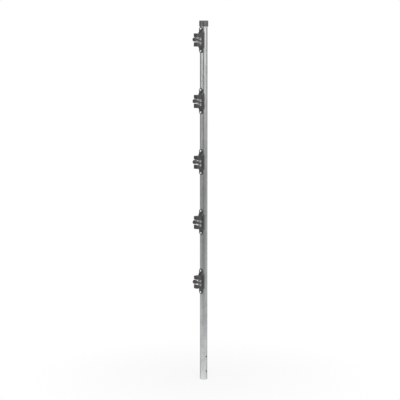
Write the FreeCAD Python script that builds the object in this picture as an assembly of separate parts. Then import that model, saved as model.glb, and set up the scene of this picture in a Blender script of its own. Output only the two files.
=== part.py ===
import FreeCAD, Part
import math
import os

from FreeCAD import Vector

# An electric fence post: a galvanised round tube with an open lower end that slips over a
# ground stake, a push-on end cap, and five claw insulators, each held by two screws.
# Millimetres. The tube's axis is Z, the centre of its lower end is the origin, and the
# insulators face -Y. The two stake pin holes near the foot run along X.

# Post tube
tube_length = 1195.0
tube_diameter = 25.0
tube_wall = 1.5
pin_hole_diameter = 4.5
lower_pin_hole = 28.0
pin_hole_spacing = 50.0

# End cap
cap_wall = 2.55
cap_skirt = 16.2
cap_top = 3.0
cap_bevel = 1.0
cap_fit = 0.1

# Row of insulators, hung from the cap downwards
insulator_count = 5
insulator_pitch = 200.0
cap_to_ear = 0.6

# Insulator saddle: two ears and the body between them
ear_width = 17.0
ear_overall = 86.4
ear_thickness = 1.4
ear_length = 14.95
body_inset = 1.5
body_depth = 3.7
body_corner = 3.6
body_bevel = 2.4
body_shoulder = 6.2
saddle_fit = 0.05
lip_thickness = 0.4

# Insulator claw: two jaws with a tongue between them
jaw_reach = 26.3
jaw_width = 16.0
jaw_shoulder = 6.75
jaw_bevel = 0.8
nose_reach = 33.4
nose_radius = 6.9
nose_rise = 1.2
nose_bevel = 1.9
tongue_thickness = 9.4
tongue_slope = 16.0
slot_height = 3.0
mouth_gap = 1.5
seat_diameter = 6.4
seat_reach = 10.6

# Screws
screw_inset = 6.9
screw_diameter = 4.2
screw_grip = 8.0
ear_hole_fit = 0.3
wall_hole_fit = 0.02
head_diameter = 7.8
head_height = 2.8

# Values that follow from the ones above
tube_radius = tube_diameter / 2
bore_radius = tube_radius - tube_wall
saddle_radius = tube_radius + saddle_fit
ear_face = saddle_radius + ear_thickness
body_face = saddle_radius + body_depth
jaw_face = tube_radius + jaw_reach
screw_radius = screw_diameter / 2
body_width = tube_diameter - 2 * body_inset
body_height = ear_overall - 2 * ear_length
panel_width = body_width - 2 * body_bevel
panel_height = body_height - 2 * body_shoulder
jaw_height = body_height - 2 * jaw_shoulder
top_insulator = tube_length - cap_skirt - cap_to_ear - ear_overall / 2
insulator_heights = [top_insulator - i * insulator_pitch for i in reversed(range(insulator_count))]
screw_offset = ear_overall / 2 - screw_inset
screw_offsets = [-screw_offset, screw_offset]

X = Vector(1, 0, 0)
Y = Vector(0, 1, 0)
Z = Vector(0, 0, 1)


def claw_point(reach, height):
    """A point of the claw's side profile: its distance from the tube's axis and its height."""
    return Vector(0, -reach, height)


def post_tube():
    """The tube, bored through, with the two stake pin holes and a hole for every screw."""
    tube = Part.makeCylinder(tube_radius, tube_length)
    cuts = [Part.makeCylinder(bore_radius, tube_length)]
    for height in (lower_pin_hole, lower_pin_hole + pin_hole_spacing):
        start = Vector(-tube_diameter, 0, height)
        cuts.append(Part.makeCylinder(pin_hole_diameter / 2, 2 * tube_diameter, start, X))
    for centre in insulator_heights:
        for offset in screw_offsets:
            start = Vector(0, -tube_diameter, centre + offset)
            cuts.append(Part.makeCylinder(screw_radius + wall_hole_fit, tube_diameter, start, Y))
    return tube.cut(cuts)


def turned(points, axis):
    """The solid turned from a closed outline of points about an axis through the origin."""
    solid = Part.Face(Part.makePolygon(points + points[:1])).revolve(Vector(0, 0, 0), axis, 360)
    return solid if solid.Volume > 0 else solid.reversed()


def end_cap():
    """The cap, turned: a top plate on the tube's end and a skirt round it."""
    socket_radius = tube_radius + cap_fit
    cap_radius = socket_radius + cap_wall
    top = tube_length + cap_top
    rim = tube_length - cap_skirt
    outline = [
        Vector(0, 0, tube_length),
        Vector(socket_radius, 0, tube_length),
        Vector(socket_radius, 0, rim),
        Vector(cap_radius, 0, rim),
        Vector(cap_radius, 0, top - cap_bevel),
        Vector(cap_radius - cap_bevel, 0, top),
        Vector(0, 0, top),
    ]
    return turned(outline, Z)


def ear_plate(back, front):
    """The plate that ends in the two ears: straight sides joined by a half circle at each end."""
    radius = ear_width / 2
    straight = ear_overall / 2 - radius
    corner = [Vector(x, -front, z) for x, z in (
        (radius, -straight), (radius, straight), (-radius, straight), (-radius, -straight))]
    outline = Part.Wire([
        Part.makeLine(corner[0], corner[1]),
        Part.Arc(corner[1], Vector(0, -front, straight + radius), corner[2]).toShape(),
        Part.makeLine(corner[2], corner[3]),
        Part.Arc(corner[3], Vector(0, -front, -straight - radius), corner[0]).toShape(),
    ])
    return Part.Face(outline).extrude(Y * (front - back))


def cut_rectangle(width, height, reach):
    """The outline of a rectangle across the Y axis with its four corners cut."""
    x = width / 2
    z = height / 2
    side = x - body_corner
    end = z - body_corner
    corner = [Vector(px, -reach, pz) for px, pz in (
        (side, z), (x, end), (x, -end), (side, -z), (-side, -z), (-x, -end), (-x, end), (-side, z))]
    return Part.makePolygon(corner + corner[:1])


def body_block(back, front):
    """The body between the ears: a slab, and a raised panel whose ends slope down to the ears."""
    foot = front - body_bevel
    base = cut_rectangle(body_width, body_height, foot)
    panel = cut_rectangle(panel_width, panel_height, front)
    slab = Part.Face(base).extrude(Y * (foot - back))
    return slab.fuse(Part.makeLoft([base, panel], True, True))


def saddle():
    """The ears and the body. The cut for the tube leaves a thin lip along each side of the body."""
    lip = math.sqrt(saddle_radius ** 2 - (body_width / 2 - lip_thickness) ** 2)
    return ear_plate(lip, ear_face).fuse(body_block(lip, body_face))


def bar_through(start, end, radius, width):
    """A bar across the claw: the strip from start to end with round ends, carried along X."""
    along = (end - start).normalize()
    side = X.cross(along) * radius
    tip = along * radius
    outline = Part.Wire([
        Part.makeLine(start + side, end + side),
        Part.Arc(end + side, end + tip, end - side).toShape(),
        Part.makeLine(end - side, start - side),
        Part.Arc(start - side, start - tip, start + side).toShape(),
    ])
    outline.translate(X * (-width / 2))
    return Part.Face(outline).extrude(X * width)


def rod_across(centre, radius, width):
    """A round rod across the claw, centred on the plane x = 0."""
    return Part.makeCylinder(radius, width, centre - X * (width / 2), X)


def nose_rod(centre):
    """The nose, turned about X, with a bevel round both ends."""
    half = jaw_width / 2
    outline = [
        Vector(-half, 0, 0),
        Vector(-half, nose_bevel - nose_radius, 0),
        Vector(nose_bevel - half, -nose_radius, 0),
        Vector(half - nose_bevel, -nose_radius, 0),
        Vector(half, nose_bevel - nose_radius, 0),
        Vector(half, 0, 0),
    ]
    return turned(outline, X).translated(centre)


def claw():
    """The jaws and the tongue. The slots fall towards the post and end in round rope seats."""
    slope = math.radians(tongue_slope)
    along = Vector(0, -math.cos(slope), math.sin(slope))
    upward = Vector(0, math.sin(slope), math.cos(slope))
    nose = claw_point(tube_radius + nose_reach - nose_radius, nose_rise)
    root = nose - along * (nose_reach - nose_radius)

    depth = jaw_face - saddle_radius
    block = Part.makeBox(jaw_width, depth, jaw_height, Vector(-jaw_width / 2, -jaw_face, -jaw_height / 2))
    outer = [e for e in block.Edges if e.BoundBox.YMin < -saddle_radius - 1e-3]
    block = block.makeChamfer(jaw_bevel, outer)

    clear = 2 * jaw_width
    slot_radius = slot_height / 2
    slot_offset = tongue_thickness / 2 + slot_radius
    neck = bar_through(root, nose, tongue_thickness / 2, clear)
    mouth = rod_across(nose, nose_radius + mouth_gap, clear)
    seats = []
    for side in (1, -1):
        end = nose + upward * (side * slot_offset)
        run = (-end.y - tube_radius - seat_reach) / math.cos(slope)
        seat = end - along * run
        mouth = mouth.fuse(bar_through(seat, end, slot_radius, clear))
        seats.append(rod_across(seat, seat_diameter / 2, clear))

    return block.cut(mouth.cut(neck)).cut(seats).fuse(nose_rod(nose))


def insulator():
    """One moulding, centred on z = 0: saddle and claw, with a screw hole in each ear."""
    cuts = [Part.makeCylinder(saddle_radius, ear_overall, Vector(0, 0, -ear_overall / 2))]
    for offset in screw_offsets:
        start = Vector(0, -body_face, offset)
        cuts.append(Part.makeCylinder(screw_radius + ear_hole_fit, body_face, start, Y))
    return saddle().fuse(claw()).cut(cuts).removeSplitter()


def screw():
    """A pan-head screw along Y, with the underside of its head on the plane y = 0."""
    shank_end = ear_thickness + saddle_fit + tube_wall + screw_grip
    head = Part.makeCylinder(head_diameter / 2, head_height, Y * -head_height, Y)
    return head.fuse(Part.makeCylinder(screw_radius, shank_end, Vector(0, 0, 0), Y))


def insulator_screws():
    """All the screws as one group of separate solids, each seated on the face of its ear."""
    one = screw()
    placed = []
    for centre in insulator_heights:
        for offset in screw_offsets:
            copy = one.copy()
            copy.translate(Vector(0, -ear_face, centre + offset))
            placed.append(copy)
    return Part.makeCompound(placed)


def main():
    nodes = {"post_tube": post_tube(), "end_cap": end_cap(), "insulator_screws": insulator_screws()}
    moulding = insulator()
    for number, height in enumerate(insulator_heights, start=1):
        copy = moulding.copy()
        copy.translate(Z * height)
        nodes[f"insulator_{number}"] = copy

    os.makedirs("parts", exist_ok=True)
    for name, shape in nodes.items():
        if not shape.isValid():
            raise ValueError(f"{name} is not a valid shape")
        shape.exportStep(f"parts/{name}.step")
        print(name, len(shape.Solids), "solid(s)", round(shape.Volume), "mm3")


main()
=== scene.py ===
# %% [markdown]
# # An electric fence post
#
# This notebook dresses the CAD model of an electric fence post: a galvanised tube with a black
# cap, five black claw insulators and ten zinc screws. The CAD solids are plain on purpose. Here
# each piece gets the round edges, the small forms and the finish that its material has. Every
# length is in metres, and the tube's axis is Z with the foot at zero, as in the CAD model.

import math

import bmesh
import bpy
import numpy as np
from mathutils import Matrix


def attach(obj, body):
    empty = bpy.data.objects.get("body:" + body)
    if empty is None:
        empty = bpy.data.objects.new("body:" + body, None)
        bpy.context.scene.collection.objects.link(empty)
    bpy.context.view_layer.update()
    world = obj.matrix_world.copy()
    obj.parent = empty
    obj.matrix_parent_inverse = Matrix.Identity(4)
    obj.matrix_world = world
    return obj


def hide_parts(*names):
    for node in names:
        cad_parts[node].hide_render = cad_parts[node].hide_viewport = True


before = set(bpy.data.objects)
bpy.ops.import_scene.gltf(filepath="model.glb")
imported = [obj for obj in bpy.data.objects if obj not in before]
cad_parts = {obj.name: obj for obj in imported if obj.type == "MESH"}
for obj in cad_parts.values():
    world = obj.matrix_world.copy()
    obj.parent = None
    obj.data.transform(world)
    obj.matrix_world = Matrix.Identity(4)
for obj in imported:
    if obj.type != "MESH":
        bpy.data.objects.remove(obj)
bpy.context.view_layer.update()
MM = 0.001
print("pieces:", sorted(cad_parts))

# %% [markdown]
# ## How the pieces are made
#
# A turned or drawn piece is a flat outline carried round an axis. A lathe does it with steel, and
# a Screw modifier or the Spin tool does it in Blender. Here the outline and the turn are two
# arrays, and their product is a grid of points, so that one line of numpy sets the whole surface
# and the number of facets is known exactly.

# %% Outlines and grids


def rounded(corners, radius, steps=7):
    """A closed outline with a bend at each corner. The bend leaves one side a radius before the
    corner and joins the next a radius after it: (1-t)^2 start + 2t(1-t) corner + t^2 end."""
    corners = np.array(corners, float)
    radius = np.broadcast_to(np.asarray(radius, float), len(corners))[:, None]
    back = np.roll(corners, 1, axis=0) - corners
    ahead = np.roll(corners, -1, axis=0) - corners
    start = corners + back / np.linalg.norm(back, axis=1, keepdims=True) * radius
    end = corners + ahead / np.linalg.norm(ahead, axis=1, keepdims=True) * radius
    t = np.linspace(0, 1, steps)[None, :, None]
    bend = (1 - t) ** 2 * start[:, None]
    bend = bend + 2 * t * (1 - t) * corners[:, None]
    bend = bend + t ** 2 * end[:, None]
    return bend.reshape(-1, 2)


def grid_faces(rows, columns, rows_close):
    """Four-sided faces of a grid whose columns go once round: each joins a point, the next point
    in its row and the same two in the next row. With rows_close the last row meets the first."""
    row = np.arange(rows if rows_close else rows - 1)[:, None]
    column = np.arange(columns)[None, :]
    above = (row + 1) % rows
    beside = (column + 1) % columns
    corners = [row * columns + column, row * columns + beside,
               above * columns + beside, above * columns + column]
    return np.stack(corners, axis=-1).reshape(-1, 4)


MERGE_REACH = 1e-7


def turned(outline, segments):
    """Points and faces of an outline of (distance from the axis, height) turned about Z: each
    point goes to (distance cos a, distance sin a, height) for evenly spaced angles a."""
    angle = np.arange(segments) * 2 * np.pi / segments
    away, height = outline[:, :1], outline[:, 1:]
    points = np.stack([away * np.cos(angle), away * np.sin(angle), height + 0 * angle], axis=-1)
    return points.reshape(-1, 3), grid_faces(len(outline), segments, True)


def new_piece(name, points, faces, sharp_angle=35):
    """A mesh object from arrays of points and faces, with doubled points merged and every edge
    sharper than sharp_angle degrees left crisp."""
    mesh = bpy.data.meshes.new(name)
    mesh.from_pydata(points, [], np.asarray(faces).tolist())
    tidy = bmesh.new()
    tidy.from_mesh(mesh)
    bmesh.ops.remove_doubles(tidy, verts=tidy.verts, dist=MERGE_REACH)
    tidy.to_mesh(mesh)
    tidy.free()
    mesh.polygons.foreach_set("use_smooth", np.ones(len(mesh.polygons), bool))
    mesh.set_sharp_from_angle(angle=math.radians(sharp_angle))
    piece = bpy.data.objects.new(name, mesh)
    bpy.context.scene.collection.objects.link(piece)
    return piece


def apply_modifiers(piece):
    """Gives the piece the mesh that its modifiers make, and takes the modifiers off."""
    bpy.context.view_layer.update()
    evaluated = piece.evaluated_get(bpy.context.evaluated_depsgraph_get())
    finished = bpy.data.meshes.new_from_object(evaluated)
    piece.modifiers.clear()
    piece.data = finished
    return piece


print("helpers ready: rounded, grid_faces, turned, new_piece, apply_modifiers")

# %% [markdown]
# ## The post tube
#
# The real tube is steel strip rolled round, welded and galvanised, then sawn to length and
# drilled. In Blender it could be a cylinder with a Solidify modifier. Here its wall is one closed
# outline, so that both sawn ends get a slight burr-free bend. The holes are cut with a Boolean
# modifier, because a drilled hole in a curved wall has a saddle-shaped rim that is hard to model
# by hand. A cut leaves long thin faces that shade badly, so the walls get true round normals.

# %% Turn the tube and drill its holes
TUBE_RADIUS = 12.5 * MM
BORE_RADIUS = 11.0 * MM
TUBE_LENGTH = 1195 * MM
PIN_HOLE_HEIGHTS = np.array([28, 78]) * MM
PIN_HOLE_RADIUS = 2.25 * MM
INSULATOR_HEIGHTS = np.array([335, 535, 735, 935, 1135]) * MM
SCREW_OFFSET = 36.3 * MM
SCREW_RADIUS = 2.1 * MM
SAWN_BEND = 0.25 * MM
DRILL_REACH = 20 * MM
screw_heights = (INSULATOR_HEIGHTS[:, None] + np.array([-SCREW_OFFSET, SCREW_OFFSET])).reshape(-1)


def drill(name, along, bars, radius, segments=48):
    """One mesh of round bars to cut with, each given by its start, its end and its height. Its
    ends are circles: radius (cos a, sin a) across and the start or the end along."""
    angle = np.arange(segments) * 2 * np.pi / segments
    circle = np.stack([radius * np.cos(angle), radius * np.sin(angle)], axis=-1)
    points, faces = [], []
    for number, (start, end, height) in enumerate(bars):
        ends = np.array([start, end])[:, None] + 0 * angle
        across = np.broadcast_to(circle[:, 0], ends.shape)
        up = np.broadcast_to(circle[:, 1] + height, ends.shape)
        bar = np.stack([ends, across, up] if along == "X" else [across, ends, up], axis=-1)
        first = number * 2 * segments
        points.append(bar.reshape(-1, 3))
        faces += (grid_faces(2, segments, False) + first).tolist()
        faces.append((np.arange(segments)[::-1] + first).tolist())
        faces.append((np.arange(segments) + first + segments).tolist())
    piece_mesh = bpy.data.meshes.new(name)
    piece_mesh.from_pydata(np.concatenate(points), [], faces)
    outward = bmesh.new()
    outward.from_mesh(piece_mesh)
    bmesh.ops.recalc_face_normals(outward, faces=outward.faces)
    outward.to_mesh(piece_mesh)
    outward.free()
    return bpy.data.objects.new(name, piece_mesh)


WALL_REACH = 0.01 * MM
WALL_FACING = 0.98


def wall_normals(mesh, radii):
    """Shades the walls as true cylinders. On a wall, a corner looks straight away from the axis,
    or towards it inside the bore, and every other corner looks as its face does."""
    loop_vertex = np.empty(len(mesh.loops), int)
    mesh.loops.foreach_get("vertex_index", loop_vertex)
    points = np.empty(len(mesh.vertices) * 3)
    mesh.vertices.foreach_get("co", points)
    points = points.reshape(-1, 3)[loop_vertex]
    face_normal = np.empty(len(mesh.polygons) * 3)
    mesh.polygons.foreach_get("normal", face_normal)
    sizes = np.empty(len(mesh.polygons), int)
    mesh.polygons.foreach_get("loop_total", sizes)
    normal = np.repeat(face_normal.reshape(-1, 3), sizes, axis=0)
    away = np.hypot(points[:, 0], points[:, 1])
    radial = points * [1, 1, 0] / away[:, None]
    facing = (normal * radial).sum(axis=1)
    near_wall = (np.abs(away[:, None] - radii) < WALL_REACH).any(axis=1)
    on_wall = near_wall & (np.abs(facing) > WALL_FACING)
    normal[on_wall] = radial[on_wall] * np.sign(facing[on_wall])[:, None]
    mesh.normals_split_custom_set(normal.tolist())


tube_corners = [(TUBE_RADIUS, 0), (TUBE_RADIUS, TUBE_LENGTH), (BORE_RADIUS, TUBE_LENGTH), (BORE_RADIUS, 0)]
tube_outline = rounded(tube_corners, SAWN_BEND, steps=5)
tube = new_piece("galvanised_tube", *turned(tube_outline, segments=192))
pin_bars = [(-DRILL_REACH, DRILL_REACH, height) for height in PIN_HOLE_HEIGHTS]
screw_bars = [(-DRILL_REACH, 0, height) for height in screw_heights]
pin_drill = drill("pin_drill", "X", pin_bars, PIN_HOLE_RADIUS)
screw_drill = drill("screw_drill", "Y", screw_bars, SCREW_RADIUS)
for cutter in (pin_drill, screw_drill):
    cut = tube.modifiers.new(cutter.name, "BOOLEAN")
    cut.operation = "DIFFERENCE"
    cut.solver = "EXACT"
    cut.object = cutter
    bpy.context.scene.collection.objects.link(cutter)
apply_modifiers(tube)
for cutter in (pin_drill, screw_drill):
    bpy.data.objects.remove(cutter)
wall_normals(tube.data, np.array([TUBE_RADIUS, BORE_RADIUS]))
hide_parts("post_tube")
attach(tube, "root")
print("tube:", len(tube.data.polygons), "faces")

# %% [markdown]
# ## The end cap
#
# The cap is a plastic moulding pushed over the tube to keep rain out. Its skirt has a little
# draft, so that it leaves the mould, a round top edge and a small lead-in at its rim. It is
# turned like the tube, from an outline with a different bend at each corner.

# %% Turn the cap
CAP_RADIUS = 15.14 * MM
CAP_TOP = 1198 * MM
CAP_RIM = 1178.8 * MM
CAP_DRAFT = 0.15 * MM
SOCKET_RADIUS = 12.6 * MM
CAP_BENDS = np.array([0, 0.2, 0.4, 0.5, 1.6, 0]) * MM
cap_corners = [(0, TUBE_LENGTH), (SOCKET_RADIUS, TUBE_LENGTH), (SOCKET_RADIUS, CAP_RIM),
               (CAP_RADIUS, CAP_RIM), (CAP_RADIUS - CAP_DRAFT, CAP_TOP), (0, CAP_TOP)]
cap_outline = rounded(cap_corners, CAP_BENDS)
cap = new_piece("push_on_cap", *turned(cap_outline, segments=128))
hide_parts("end_cap")
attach(cap, "root")
print("cap:", len(cap.data.polygons), "faces")

# %% [markdown]
# ## The claw insulators
#
# Each insulator is one moulding: a saddle on the tube, two ears for the screws, and a claw of two
# jaws with a tongue between them that holds the fence rope in a slot. Such a shape could be
# box-modelled with a Subdivision modifier. The CAD solid already has it, with hard edges, so a
# merged copy is rebuilt as an even skin by the Remesh modifier and then smoothed a little, which
# rounds every edge alike, as a mould cut with one small tool does. The rims of the rope slots are
# rounder, so that the rope slips in, and they are smoothed once more on their own. The work is
# done once, and the five mouldings are shifted copies.

# %% Round the edges of one insulator
REMESH_SIZE = 0.45 * MM
SOLID_MERGE = 0.002 * MM
SMOOTH_SHARE = 0.5
SKIN_STEPS = 6
RIM_STEPS = 24
CLAW_HALF = 8 * MM
CLAW_ROOT = 18 * MM
JAW_FACE = 38.8 * MM
NOSE_AWAY = 39 * MM
NOSE_RISE = 1.2 * MM
NOSE_RADIUS = 6.9 * MM
RIM_BAND = 15 * MM
RIM_REACH = 2 * MM
NOSE_CLEAR = 0.3 * MM


def vertex_points(mesh):
    """The points of a mesh as an array with one row for each."""
    points = np.empty(len(mesh.vertices) * 3)
    mesh.vertices.foreach_get("co", points)
    return points.reshape(-1, 3)


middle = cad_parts["insulator_3"]
moulding_mesh = middle.data.copy()
merge = bmesh.new()
merge.from_mesh(moulding_mesh)
bmesh.ops.remove_doubles(merge, verts=merge.verts, dist=SOLID_MERGE)
merge.to_mesh(moulding_mesh)
merge.free()
moulding = bpy.data.objects.new("moulding", moulding_mesh)
bpy.context.scene.collection.objects.link(moulding)
skin = moulding.modifiers.new("skin", "REMESH")
skin.mode = "VOXEL"
skin.voxel_size = REMESH_SIZE
soften = moulding.modifiers.new("soften", "SMOOTH")
soften.factor = SMOOTH_SHARE
soften.iterations = SKIN_STEPS
apply_modifiers(moulding)
moulding.data.materials.clear()
across, away, height = (vertex_points(moulding.data) - [0, 0, INSULATOR_HEIGHTS[2]]).T
in_claw = (away < -CLAW_ROOT) & (np.abs(height) < RIM_BAND)
near_side = np.abs(across) > CLAW_HALF - RIM_REACH
off_nose = np.hypot(away + NOSE_AWAY, height - NOSE_RISE) > NOSE_RADIUS + NOSE_CLEAR
near_front = (away < RIM_REACH - JAW_FACE) & off_nose
rims = moulding.vertex_groups.new(name="slot_rims")
rims.add(np.flatnonzero(in_claw & (near_side | near_front)).tolist(), 1.0, "REPLACE")
lead_in = moulding.modifiers.new("lead_in", "SMOOTH")
lead_in.factor = SMOOTH_SHARE
lead_in.iterations = RIM_STEPS
lead_in.vertex_group = "slot_rims"
apply_modifiers(moulding)
moulding_mesh = moulding.data
skin_points = vertex_points(moulding_mesh)
bpy.data.objects.remove(moulding)
print("one insulator:", len(moulding_mesh.polygons), "faces")

# %% [markdown]
# ### Painted highlight in the rope slots
#
# The walls and rims of both rope slots are painted pale grey, a painted highlight for the light
# that the glossy slots catch. It could be painted by hand. Here it is measured: each point of the
# moulding gets one number that says how near it is to a slot, and the finish reads that number.

# %% Measure the painted highlight and copy the moulding
SLOT_RADIUS = 1.5 * MM
SEAT_RADIUS = 3.2 * MM
SEAT_AWAY = 23.1 * MM
TONGUE_HALF = 4.7 * MM
TONGUE_SLOPE = math.radians(16)
# The two below set how far out from a slot the painted highlight reaches.
HIGHLIGHT_FULL = 0.4 * MM
HIGHLIGHT_END = 1.2 * MM


def painted_slot_highlight(away, height):
    """How much painted highlight each point of the claw's side view gets, from 0 to 1. The distance
    to a slot is that to the line along its middle less the slot's radius, or that to the middle of
    its seat less the seat's radius, whichever is less. The highlight is full at HIGHLIGHT_FULL,
    none at HIGHLIGHT_END and goes evenly from one to the other."""
    along = np.array([math.cos(TONGUE_SLOPE), math.sin(TONGUE_SLOPE)])
    point = np.stack([away, height], axis=-1)
    nearest = np.full(away.shape, HIGHLIGHT_END)
    for side in (1, -1):
        offset = side * (TONGUE_HALF + SLOT_RADIUS)
        end = np.array([NOSE_AWAY - offset * along[1], NOSE_RISE + offset * along[0]])
        run = (end[0] - SEAT_AWAY) / along[0]
        seat = end - run * along
        share = np.clip((point - seat) @ along, 0, run)
        to_line = np.linalg.norm(point - seat - share[:, None] * along, axis=1) - SLOT_RADIUS
        to_seat = np.linalg.norm(point - seat, axis=1) - SEAT_RADIUS
        nearest = np.minimum(nearest, np.minimum(to_line, to_seat))
    return np.clip((HIGHLIGHT_END - nearest) / (HIGHLIGHT_END - HIGHLIGHT_FULL), 0, 1)


# Each point's share of the painted highlight in the rope slots, kept as an attribute of the mouldings.
slot_highlight = painted_slot_highlight(-skin_points[:, 1], skin_points[:, 2] - INSULATOR_HEIGHTS[2])
insulators = []
for number, height in enumerate(INSULATOR_HEIGHTS, start=1):
    mesh = moulding_mesh.copy()
    shifted = skin_points + [0, 0, height - INSULATOR_HEIGHTS[2]]
    mesh.vertices.foreach_set("co", shifted.reshape(-1))
    mesh.polygons.foreach_set("use_smooth", np.ones(len(mesh.polygons), bool))
    mesh.attributes.new("painted_slot_highlight", "FLOAT", "POINT").data.foreach_set("value", slot_highlight)
    mesh.update()
    piece = bpy.data.objects.new(f"claw_insulator_{number}", mesh)
    bpy.context.scene.collection.objects.link(piece)
    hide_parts(f"insulator_{number}")
    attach(piece, "root")
    insulators.append(piece)
# The percent is the mean of the painted highlight over each moulding.
print("insulators:", len(insulators), "with", round(100 * slot_highlight.mean()), "percent of each rubbed")

# %% [markdown]
# ## The screws
#
# The insulators are held by zinc-plated pan-head screws with a cross recess. A head could be a
# cylinder with a Bevel modifier and a Boolean cross. Here it is a round grid with its height as a
# formula, a dome less a cross-shaped pit, so that the pit's walls and floor run smoothly into the
# dome with no cutting. Each screw stops at another turn, as screws driven by hand do.

# %% Shape a pan head with a cross recess
EAR_FACE = 13.95 * MM
HEAD_RADIUS = 3.9 * MM
HEAD_HEIGHT = 2.8 * MM
SHANK_LENGTH = 10.95 * MM
TIP_LENGTH = 1.5 * MM
TIP_RADIUS = 1.0 * MM
DOME_RIM = 0.32
RECESS_DEPTH = 2.1 * MM
RECESS_REACH = 2.3 * MM
ARM_HALF = 0.5 * MM
ARM_EDGE = 0.06 * MM


def screw_surface(rings=56, segments=96):
    """Points and faces of a screw that points along +Y with its head's underside at y = 0. From the
    crown outwards, a ring at share s has the distance s HEAD_RADIUS and the height of a rounded
    dome, less a pit that is deep where a point is near either arm of a cross and near the axis."""
    share = np.linspace(0, 1, rings)[:, None]
    angle = np.arange(segments)[None, :] * 2 * np.pi / segments
    reach = HEAD_RADIUS * np.sin(share * np.pi / 2)
    across = reach * np.cos(angle)
    up = reach * np.sin(angle)
    dome = HEAD_HEIGHT * (DOME_RIM + (1 - DOME_RIM) * (1 - (reach / HEAD_RADIUS) ** 4) ** 0.5)
    arm = np.minimum(np.abs(across), np.abs(up))
    radius = np.hypot(across, up)
    in_arm = 1 / (1 + np.exp((arm - ARM_HALF) / ARM_EDGE))
    in_reach = np.clip(1 - radius / RECESS_REACH, 0, 1) ** 0.6
    lift = dome - RECESS_DEPTH * in_arm * in_reach
    head = np.stack([across, -lift, up], axis=-1).reshape(-1, 3)
    shank = np.array([(HEAD_RADIUS, 0), (SCREW_RADIUS, 0), (SCREW_RADIUS, SHANK_LENGTH - TIP_LENGTH),
                      (TIP_RADIUS, SHANK_LENGTH), (0, SHANK_LENGTH)])
    away, along = shank[:, :1], shank[:, 1:]
    below = np.stack([away * np.cos(angle), along + 0 * angle, away * np.sin(angle)], axis=-1)
    points = np.concatenate([head, below.reshape(-1, 3)])
    return points, grid_faces(rings + len(shank), segments, False)


CROSS_STEP = 67
one_screw, screw_faces = screw_surface()
turns = np.radians((np.arange(len(screw_heights)) * CROSS_STEP) % 90)
screws = []
for height, turn in zip(screw_heights, turns):
    across, along, up = one_screw.T
    spun = np.stack([across * np.cos(turn) - up * np.sin(turn), along,
                     across * np.sin(turn) + up * np.cos(turn)], axis=-1)
    screws.append(spun + [0, -EAR_FACE, height])
all_faces = np.concatenate([screw_faces + i * len(one_screw) for i in range(len(screws))])
screw_set = new_piece("pan_head_screws", np.concatenate(screws), all_faces, 50)
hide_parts("insulator_screws")
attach(screw_set, "root")
print("screws:", len(screws), "with", len(screw_set.data.polygons), "faces in all")

# %% [markdown]
# ## Finishes
#
# Each finish is a small graph of nodes. It could be built by hand in the Shader Editor. A few
# helpers that add nodes and join them keep each graph short enough to read here. The graphs read
# Object coordinates, so that the grain has one size in metres wherever the piece is.

# %% Node helpers


def new_finish(name):
    """An empty material with its Principled shader and its node tree."""
    material = bpy.data.materials.new(name)
    material.use_nodes = True
    tree = material.node_tree
    return material, tree, tree.nodes["Principled BSDF"]


def add(tree, kind, **settings):
    """A new node with its settings: a name in small letters sets the node, a capital an input."""
    node = tree.nodes.new(kind)
    for key, value in settings.items():
        if key[0].isupper():
            node.inputs[key.replace("_", " ")].default_value = value
        else:
            setattr(node, key, value)
    return node


def wire(tree, *steps):
    """Joins outputs to inputs, given as pairs of sockets."""
    for source, target in steps:
        tree.links.new(source, target)


def ramp(tree, source, low, high, to_low, to_high):
    """The source's range from low to high, turned into the range from to_low to to_high."""
    node = add(tree, "ShaderNodeMapRange", From_Min=low, From_Max=high, To_Min=to_low, To_Max=to_high)
    wire(tree, (source, node.inputs["Value"]))
    return node.outputs["Result"]


print("node helpers ready")

# %% [markdown]
# ### Galvanised steel
#
# Hot-dip zinc on a rolled tube is a satin metal with a mottle of small crystals, faint lines
# along the tube from rolling, and patches that are duller than others. The mottle is a stretched
# Voronoi texture, the lines a Noise texture squeezed across and long lengthwise, and both drive
# the brightness and the roughness rather than a drawn picture. Inside the bore the colour is
# painted dark as painted shade, and so is a narrow ring round each pin hole, painted shade at its rim.

# %% Make the galvanised finish
CRYSTAL_SHADE = 0.04
CLOUD_SHADE = 0.09
LINE_SHADE = 0.04
MOST_SHADE = 0.18
DARK_ZINC = (0.36, 0.365, 0.37, 1)
PALE_ZINC = (0.66, 0.665, 0.67, 1)
DARK_ROUGHNESS = 0.42
PALE_ROUGHNESS = 0.3
SKIN_RADIUS = 12.3 * MM
# The two below darken the colour as painted shade, in the bore and in a ring round each pin hole.
BORE_PAINTED_SHADE = 0.12
RING_PAINTED_SHADE = 0.2
RING_INNER = PIN_HOLE_RADIUS + 0.3 * MM
RING_OUTER = PIN_HOLE_RADIUS + 0.5 * MM

zinc, tree, shader = new_finish("galvanised_zinc")
place = add(tree, "ShaderNodeTexCoord").outputs["Object"]
stretch = add(tree, "ShaderNodeMapping")
stretch.inputs["Scale"].default_value = (1, 1, 0.35)
crystals = add(tree, "ShaderNodeTexVoronoi", Scale=420, Randomness=1)
patches = add(tree, "ShaderNodeTexNoise", Scale=60, Detail=5, Roughness=0.6)
lengthen = add(tree, "ShaderNodeMapping")
lengthen.inputs["Scale"].default_value = (1, 1, 0.02)
lines = add(tree, "ShaderNodeTexNoise", Scale=900, Detail=3)
wire(tree, (place, stretch.inputs["Vector"]), (stretch.outputs[0], crystals.inputs["Vector"]),
     (stretch.outputs[0], patches.inputs["Vector"]), (place, lengthen.inputs["Vector"]),
     (lengthen.outputs[0], lines.inputs["Vector"]))
crystal_shade = add(tree, "ShaderNodeSeparateColor")
wire(tree, (crystals.outputs["Color"], crystal_shade.inputs[0]))
cell = ramp(tree, crystal_shade.outputs[0], 0, 1, -CRYSTAL_SHADE, CRYSTAL_SHADE)
cloud = ramp(tree, patches.outputs["Fac"], 0.3, 0.7, -CLOUD_SHADE, CLOUD_SHADE)
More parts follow.
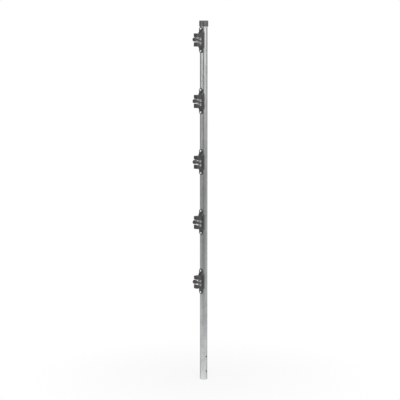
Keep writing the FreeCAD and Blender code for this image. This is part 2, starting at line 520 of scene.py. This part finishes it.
line = ramp(tree, lines.outputs["Fac"], 0.3, 0.7, -LINE_SHADE, LINE_SHADE)
first_sum = add(tree, "ShaderNodeMath", operation="ADD")
second_sum = add(tree, "ShaderNodeMath", operation="ADD")
wire(tree, (cell, first_sum.inputs[0]), (cloud, first_sum.inputs[1]),
     (first_sum.outputs[0], second_sum.inputs[0]), (line, second_sum.inputs[1]))
mottle = second_sum.outputs[0]
print("shade goes from", -MOST_SHADE, "to", MOST_SHADE)

# %% [markdown]
# The bore and the edges of the pin holes get their painted shade by where they are: the bore by
# the distance from the tube's axis, and the rings by the distance from the nearer hole's middle.
# The two holes are alike, so the height is folded about the point halfway between them.

# %% Paint shade into the bore and the rings round the pin holes
shade = add(tree, "ShaderNodeValToRGB")
shade.color_ramp.elements[0].color = DARK_ZINC
shade.color_ramp.elements[1].color = PALE_ZINC
flat = add(tree, "ShaderNodeVectorMath", operation="MULTIPLY")
flat.inputs[1].default_value = (1, 1, 0)
radius = add(tree, "ShaderNodeVectorMath", operation="LENGTH")
# Painted shade: the colour is multiplied down inside the bore and in a ring round each pin hole.
shaded_colour = add(tree, "ShaderNodeVectorMath", operation="SCALE")
painted_shade = add(tree, "ShaderNodeMath", operation="MULTIPLY")
wire(tree, (place, flat.inputs[0]), (flat.outputs[0], radius.inputs[0]),
     (shade.outputs["Color"], shaded_colour.inputs[0]),
     (ramp(tree, radius.outputs["Value"], BORE_RADIUS, SKIN_RADIUS, BORE_PAINTED_SHADE, 1), painted_shade.inputs[0]))
parts = add(tree, "ShaderNodeSeparateXYZ")
from_middle = add(tree, "ShaderNodeMath", operation="SUBTRACT")
from_middle.inputs[1].default_value = PIN_HOLE_HEIGHTS.mean()
either_way = add(tree, "ShaderNodeMath", operation="ABSOLUTE")
from_hole = add(tree, "ShaderNodeMath", operation="SUBTRACT")
from_hole.inputs[1].default_value = np.ptp(PIN_HOLE_HEIGHTS) / 2
around = add(tree, "ShaderNodeCombineXYZ")
to_hole = add(tree, "ShaderNodeVectorMath", operation="LENGTH")
wire(tree, (place, parts.inputs[0]), (parts.outputs["Z"], from_middle.inputs[0]),
     (from_middle.outputs[0], either_way.inputs[0]), (either_way.outputs[0], from_hole.inputs[0]),
     (parts.outputs["Y"], around.inputs["X"]), (from_hole.outputs[0], around.inputs["Y"]),
     (around.outputs[0], to_hole.inputs[0]), (painted_shade.outputs[0], shaded_colour.inputs["Scale"]),
     (ramp(tree, to_hole.outputs["Value"], RING_INNER, RING_OUTER, RING_PAINTED_SHADE, 1), painted_shade.inputs[1]))
wire(tree, (ramp(tree, mottle, -MOST_SHADE, MOST_SHADE, 0, 1), shade.inputs["Fac"]),
     (shaded_colour.outputs[0], shader.inputs["Base Color"]),
     (ramp(tree, mottle, -MOST_SHADE, MOST_SHADE, DARK_ROUGHNESS, PALE_ROUGHNESS),
      shader.inputs["Roughness"]))
shader.inputs["Metallic"].default_value = 1
bump = add(tree, "ShaderNodeBump", Strength=0.07, Distance=0.1 * MM)
wire(tree, (mottle, bump.inputs["Height"]), (bump.outputs["Normal"], shader.inputs["Normal"]))
tube.data.materials.append(zinc)
print("finish:", zinc.name)

# %% [markdown]
# ### Black plastic
#
# The insulators and the cap are black moulded plastic with a semi-gloss skin. It isn't pure
# black: its fine grain scatters some light. One flat colour would look like paint, so the grain
# is a fine Noise texture in the bump and in the roughness, and a slow one changes the shade a
# little. The painted highlight that was measured on the insulators mixes in a pale grey, and the
# cap, which has no such attribute, reads it as none.

# %% Make the moulded plastic finishes
# Pale grey of the painted highlight in the rope slots.
HIGHLIGHT_GREY = (0.6, 0.6, 0.6, 1)
CLAW_COLOUR = (0.062, 0.062, 0.064)
CAP_COLOUR = (0.095, 0.095, 0.097)
SHADE_CHANGE = 0.2
ROUGHNESS_CHANGE = 0.05


def moulded_plastic(name, colour, roughness, grain):
    """Black plastic with a slow change of shade, a fine grain and a satin skin."""
    material, tree, shader = new_finish(name)
    place = add(tree, "ShaderNodeTexCoord").outputs["Object"]
    slow = add(tree, "ShaderNodeTexNoise", Scale=70, Detail=3)
    fine = add(tree, "ShaderNodeTexNoise", Scale=2600, Detail=2)
    wire(tree, (place, slow.inputs["Vector"]), (place, fine.inputs["Vector"]))
    shade = add(tree, "ShaderNodeValToRGB")
    shade.color_ramp.elements[0].position = 0.3
    shade.color_ramp.elements[0].color = (*[(1 - SHADE_CHANGE) * c for c in colour], 1)
    shade.color_ramp.elements[1].position = 0.7
    shade.color_ramp.elements[1].color = (*[(1 + SHADE_CHANGE) * c for c in colour], 1)
    # The painted highlight in the rope slots, read from the moulding's attribute and mixed into the colour.
    slot_highlight = add(tree, "ShaderNodeAttribute", attribute_name="painted_slot_highlight")
    highlight_mix = add(tree, "ShaderNodeMix", data_type="RGBA")
    highlight_mix.inputs["B"].default_value = HIGHLIGHT_GREY
    bump = add(tree, "ShaderNodeBump", Strength=grain, Distance=0.05 * MM)
    wire(tree, (slow.outputs["Fac"], shade.inputs["Fac"]), (shade.outputs["Color"], highlight_mix.inputs["A"]),
         (slot_highlight.outputs["Fac"], highlight_mix.inputs["Factor"]),
         (highlight_mix.outputs["Result"], shader.inputs["Base Color"]),
         (ramp(tree, fine.outputs["Fac"], 0.3, 0.7, roughness - ROUGHNESS_CHANGE,
               roughness + ROUGHNESS_CHANGE), shader.inputs["Roughness"]),
         (fine.outputs["Fac"], bump.inputs["Height"]), (bump.outputs["Normal"], shader.inputs["Normal"]))
    return material


claw_plastic = moulded_plastic("claw_plastic", CLAW_COLOUR, roughness=0.24, grain=0.25)
cap_plastic = moulded_plastic("cap_plastic", CAP_COLOUR, roughness=0.2, grain=0.25)
for piece in insulators:
    piece.data.materials.append(claw_plastic)
cap.data.materials.append(cap_plastic)
print("finishes:", claw_plastic.name, cap_plastic.name)

# %% [markdown]
# ### Bright zinc
#
# The screws are electroplated, so they are brighter and smoother than the dipped tube. A metal
# with one roughness would do for a part this small. A Noise texture in its shade and roughness
# costs one node more, and it keeps ten alike screws from flashing as one.

# %% Make the plated finish
plated, tree, shader = new_finish("plated_zinc")
place = add(tree, "ShaderNodeTexCoord").outputs["Object"]
handling = add(tree, "ShaderNodeTexNoise", Scale=900, Detail=4)
wire(tree, (place, handling.inputs["Vector"]))
shade = add(tree, "ShaderNodeValToRGB")
shade.color_ramp.elements[0].position = 0.3
shade.color_ramp.elements[0].color = (0.8, 0.8, 0.79, 1)
shade.color_ramp.elements[1].position = 0.7
shade.color_ramp.elements[1].color = (0.92, 0.92, 0.91, 1)
wire(tree, (handling.outputs["Fac"], shade.inputs["Fac"]),
     (shade.outputs["Color"], shader.inputs["Base Color"]),
     (ramp(tree, handling.outputs["Fac"], 0.3, 0.7, 0.3, 0.42), shader.inputs["Roughness"]))
shader.inputs["Metallic"].default_value = 1
screw_set.data.materials.append(plated)
print("finish:", plated.name)

# %% [markdown]
# ## The studio
#
# The post stands on a white floor in front of nothing but white. To the camera the floor and the
# world are white by themselves, and near the foot the floor keeps part of its own shading, so
# that the shadow stays. A metal tube shows the whole room, so the room matters: its back is
# bright, the side where the camera is stays dimmer, and four soft boxes stand round the post.
# Everything is placed by a few directions, named first.

# %% Name the directions in the room
VIEW_ANGLE = math.radians(45)
DIM_TURN = math.radians(-5)
to_camera = np.array([math.sin(VIEW_ANGLE), -math.cos(VIEW_ANGLE), 0])
to_right = np.array([math.cos(VIEW_ANGLE), math.sin(VIEW_ANGLE), 0])
to_dim_side = to_camera * math.cos(DIM_TURN) + to_right * math.sin(DIM_TURN)
print("camera side:", to_camera.round(3), "dim side:", to_dim_side.round(3))

# %% [markdown]
# ### The floor
#
# A real studio floor is lit near the post and fades with distance, and the tube shows that as a
# band that darkens upwards. It could be lit with many lamps. Here the floor shines by itself for
# glossy rays alone: most near the foot, less far away on the dim side, and not at all inside the
# tube, which keeps the bore and the pin holes dark.

# %% Lay the floor
FLOOR_HALF = 12
FLOOR_GREY = (0.8, 0.8, 0.8, 1)
SHADOW_NEAR = 0.1
SHADOW_FAR = 0.6
NEAR_WHITE = 0.85
FADE_END = 6
FADE_WITH_DISTANCE = 0.3
FADE_STOPS = [(0.033, 1.0), (0.333, 0.28), (1.0, 0.2)]
GLOW_BEHIND = 0.85
GLOW_IN_FRONT = 1.38

floor_mesh = bpy.data.meshes.new("floor")
floor_corners = [(-FLOOR_HALF, -FLOOR_HALF, 0), (FLOOR_HALF, -FLOOR_HALF, 0),
                 (FLOOR_HALF, FLOOR_HALF, 0), (-FLOOR_HALF, FLOOR_HALF, 0)]
floor_mesh.from_pydata(floor_corners, [], [(0, 1, 2, 3)])
floor = bpy.data.objects.new("floor", floor_mesh)
bpy.context.scene.collection.objects.link(floor)
floor_finish = bpy.data.materials.new("studio_floor")
floor_finish.use_nodes = True
tree = floor_finish.node_tree
tree.nodes.clear()
out = add(tree, "ShaderNodeOutputMaterial")
matt = add(tree, "ShaderNodeBsdfDiffuse", Color=FLOOR_GREY)
glow = add(tree, "ShaderNodeEmission", Color=(1, 1, 1, 1))
both = add(tree, "ShaderNodeMixShader")
lit = add(tree, "ShaderNodeEmission")
mirror = add(tree, "ShaderNodeMixShader")
ray = add(tree, "ShaderNodeLightPath")
place = add(tree, "ShaderNodeTexCoord").outputs["Object"]
away = add(tree, "ShaderNodeVectorMath", operation="LENGTH")
seen = add(tree, "ShaderNodeMath", operation="MULTIPLY")
forward = add(tree, "ShaderNodeVectorMath", operation="DOT_PRODUCT")
forward.inputs[1].default_value = to_dim_side
ahead_only = add(tree, "ShaderNodeMath", operation="MAXIMUM")
ahead_only.inputs[1].default_value = 0
farness = add(tree, "ShaderNodeMath", operation="MULTIPLY_ADD")
farness.inputs[1].default_value = FADE_WITH_DISTANCE
side = add(tree, "ShaderNodeMath", operation="DIVIDE")
outside = add(tree, "ShaderNodeMath", operation="MULTIPLY")
fading = add(tree, "ShaderNodeValToRGB")
fading.color_ramp.elements.new(0.5)
for stop, (position, grey) in zip(fading.color_ramp.elements, FADE_STOPS):
    stop.position = position
    stop.color = (grey, grey, grey, 1)
wire(tree, (place, away.inputs[0]), (ray.outputs["Is Camera Ray"], seen.inputs[0]),
     (ramp(tree, away.outputs["Value"], SHADOW_NEAR, SHADOW_FAR, NEAR_WHITE, 1), seen.inputs[1]),
     (seen.outputs[0], both.inputs[0]), (matt.outputs[0], both.inputs[1]),
     (glow.outputs[0], both.inputs[2]),
     (both.outputs[0], mirror.inputs[1]), (lit.outputs[0], mirror.inputs[2]),
     (ray.outputs["Is Glossy Ray"], mirror.inputs[0]),
     (place, forward.inputs[0]), (forward.outputs["Value"], ahead_only.inputs[0]),
     (away.outputs["Value"], farness.inputs[0]), (ahead_only.outputs[0], farness.inputs[2]),
     (ramp(tree, farness.outputs[0], 0, FADE_END, 0, 1), fading.inputs["Fac"]),
     (fading.outputs["Color"], lit.inputs["Color"]), (forward.outputs["Value"], side.inputs[0]),
     (away.outputs["Value"], side.inputs[1]),
     (ramp(tree, side.outputs[0], -0.2, 0.6, GLOW_BEHIND, GLOW_IN_FRONT), outside.inputs[0]),
     (ramp(tree, away.outputs["Value"], TUBE_RADIUS, TUBE_RADIUS + 2 * MM, 0, 1), outside.inputs[1]),
     (outside.outputs[0], lit.inputs["Strength"]),
     (mirror.outputs[0], out.inputs["Surface"]))
floor_mesh.materials.append(floor_finish)
print("floor laid:", 2 * FLOOR_HALF, "m wide")

# %% [markdown]
# ### The walls and the lamps
#
# A big soft lamp gives a soft edge on round metal, where a small one gives a hard line. Area
# lamps do that, and each is aimed at a height on the post. The world is the walls of the room. It
# could be an image of a studio, but a plain ramp from the bright back to the dim side is enough.

# %% Paint the walls
BACK_LIGHT = 0.6
DIM_LIGHT = 0.14

world = bpy.data.worlds.new("room")
world.use_nodes = True
bpy.context.scene.world = world
tree = world.node_tree
tree.nodes.clear()
out = add(tree, "ShaderNodeOutputWorld")
room = add(tree, "ShaderNodeBackground")
white = add(tree, "ShaderNodeBackground", Color=(1, 1, 1, 1), Strength=1)
choose = add(tree, "ShaderNodeMixShader")
ray = add(tree, "ShaderNodeLightPath")
direction = add(tree, "ShaderNodeTexCoord").outputs["Generated"]
towards = add(tree, "ShaderNodeVectorMath", operation="DOT_PRODUCT")
towards.inputs[1].default_value = to_dim_side
wire(tree, (direction, towards.inputs[0]),
     (ramp(tree, towards.outputs["Value"], -0.2, 0.95, BACK_LIGHT, DIM_LIGHT), room.inputs["Strength"]),
     (ray.outputs["Is Camera Ray"], choose.inputs[0]), (room.outputs[0], choose.inputs[1]),
     (white.outputs[0], choose.inputs[2]), (choose.outputs[0], out.inputs["Surface"]))
print("walls:", BACK_LIGHT, "behind the post,", DIM_LIGHT, "on the dim side")

# %% Set up the lamps


def soft_box(name, turn, distance, height, width, tall, watts, aim_height):
    """A four-sided lamp that stands turn degrees to the right of the camera as seen from the post,
    and looks at the post's axis at aim_height."""
    turn = math.radians(turn)
    spot = (to_camera * math.cos(turn) + to_right * math.sin(turn)) * distance
    spot[2] = height
    lamp = bpy.data.lights.new(name, "AREA")
    lamp.shape = "RECTANGLE"
    lamp.size = width
    lamp.size_y = tall
    lamp.energy = watts
    holder = bpy.data.objects.new(name, lamp)
    bpy.context.scene.collection.objects.link(holder)
    holder.location = spot
    fall = math.atan2(height - aim_height, distance)
    facing = math.atan2(spot[0], -spot[1])
    holder.rotation_euler = (math.pi / 2 - fall, 0, facing)
    return holder


soft_box("soft_box_right", turn=40, distance=2.2, height=1.6, width=2.8, tall=1.4, watts=20, aim_height=1.6)
soft_box("soft_box_side", turn=100, distance=2.2, height=1.4, width=1.6, tall=2.4, watts=4, aim_height=1.4)
soft_box("soft_box_left", turn=-53, distance=2.4, height=1.6, width=1.6, tall=1.4, watts=16, aim_height=1.6)
soft_box("soft_box_above", turn=10, distance=1.0, height=2.6, width=1.2, tall=1.2, watts=22, aim_height=0.9)

# %% [markdown]
# ## The camera
#
# The photograph looks at the post from the front right, a little below its top and 7 degrees
# down, from far away with a long lens. A camera could be moved by eye until the picture fits.
# Here the lens and the tilt come from where the ends of the post are in the picture, in pixels.

# %% Place the camera
CAMERA_DISTANCE = 4.4
CAMERA_HEIGHT = 1.14
FOCAL_PIXELS = 1334.5
IMAGE_PIXELS = 400
CAMERA_TILT = 6.904
POST_RIGHT_OF_MIDDLE = 3.7
SENSOR_WIDTH = 36
camera_data = bpy.data.cameras.new("camera")
camera_data.sensor_width = SENSOR_WIDTH
camera_data.lens = FOCAL_PIXELS / IMAGE_PIXELS * SENSOR_WIDTH
camera = bpy.data.objects.new("camera", camera_data)
bpy.context.scene.collection.objects.link(camera)
camera.location = to_camera * CAMERA_DISTANCE + [0, 0, CAMERA_HEIGHT]
aside = math.atan(POST_RIGHT_OF_MIDDLE / FOCAL_PIXELS)
camera.rotation_euler = (math.radians(90 - CAMERA_TILT), 0, VIEW_ANGLE + aside)
bpy.context.scene.camera = camera
bpy.context.scene.view_settings.view_transform = "Standard"
print("lens:", round(camera_data.lens, 1), "mm")
